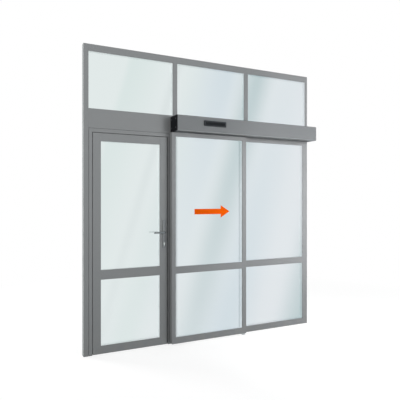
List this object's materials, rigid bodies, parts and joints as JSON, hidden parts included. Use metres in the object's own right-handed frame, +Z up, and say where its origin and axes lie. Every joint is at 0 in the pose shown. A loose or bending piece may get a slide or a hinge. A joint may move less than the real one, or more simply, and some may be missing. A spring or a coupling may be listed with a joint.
{
  "type": "automatic sliding door in a glazed entrance screen",
  "caption": "Aluminium entrance screen with upper lights, a hinged glazed door, and an automatic sliding glazed leaf that hangs from an operator box and opens in front of a fixed side screen.",
  "frame": {"origin": "foot of the left jamb, at its wall side and front face, on the floor line", "axes": "+X along the screen from the left jamb to the right one, +Y from the face that carries the operator to the back, +Z up"},
  "size_m": [2.7, 0.287, 3],
  "materials": {
    "frame_metal": "satin",
    "cover_metal": "satin",
    "mill_aluminium": "satin",
    "insulated_glass": "gloss",
    "leaf_glass": "gloss",
    "cap_plastic": "matte",
    "sensor_plastic": "gloss",
    "hinge_metal": "satin",
    "steel": "satin",
    "nickel": "polished",
    "brush_seal": "matte",
    "arrow_film": "satin",
    "wheel_plastic": "matte"
  },
  "bodies": {
    "frame": {"left_jamb": "frame_metal", "right_jamb": "frame_metal", "head_rail": "frame_metal", "left_mullion": "frame_metal", "right_mullion": "frame_metal", "lintel_beam": "frame_metal", "spandrel_panel": "frame_metal", "upper_lights": "insulated_glass", "door_frame_hinge_side": "frame_metal", "door_frame_head": "frame_metal", "door_frame_lock_side": "frame_metal", "frame_hinges": "hinge_metal", "screen_left_stile": "frame_metal", "screen_right_stile": "frame_metal", "screen_top_rail": "frame_metal", "screen_mid_rail": "frame_metal", "screen_bottom_rail": "frame_metal", "screen_panes": "insulated_glass", "header_back_plate": "cover_metal", "header_track": "mill_aluminium", "track_stops": "brush_seal", "header_front": "cover_metal", "header_top": "cover_metal", "header_underside": "cover_metal", "header_left_cap": "cap_plastic", "header_right_cap": "cover_metal", "door_sensor": "sensor_plastic", "floor_guide": "steel"},
    "hinged_leaf": {"door_hinge_stile": "frame_metal", "door_lock_stile": "frame_metal", "door_top_rail": "frame_metal", "door_mid_rail": "frame_metal", "door_bottom_rail": "frame_metal", "door_panes": "insulated_glass", "leaf_hinges": "hinge_metal", "handle_plates": "hinge_metal", "lock_cylinder": "nickel"},
    "lever": {"front_lever": "steel", "back_lever": "steel", "lever_spindle": "steel"},
    "sliding_leaf": {"slide_left_stile": "frame_metal", "slide_right_stile": "frame_metal", "slide_top_rail": "frame_metal", "slide_mid_rail": "frame_metal", "slide_bottom_rail": "frame_metal", "slide_panes": "leaf_glass", "slide_seals": "brush_seal", "arrow_decal": "arrow_film", "carriage_hangers": "steel", "carriage_wheels": "wheel_plastic"}
  },
  "joints": [
    {"name": "door_swing", "type": "hinge", "parent": "frame", "child": "hinged_leaf", "pos_m": [0.071, 0.072, 1], "axis": [0, 0, 1], "range_deg": [0, 90]},
    {"name": "lever_turn", "type": "hinge", "parent": "hinged_leaf", "child": "lever", "pos_m": [0.824, 0.03, 1.165], "axis": [0, -1, 0], "range_deg": [0, 45], "stiffness_Nm_per_rad": 2, "springref_deg": -34.38},
    {"name": "leaf_slide", "type": "slide", "parent": "frame", "child": "sliding_leaf", "axis": [1, 0, 0], "range_m": [0, 0.85]}
  ]
}
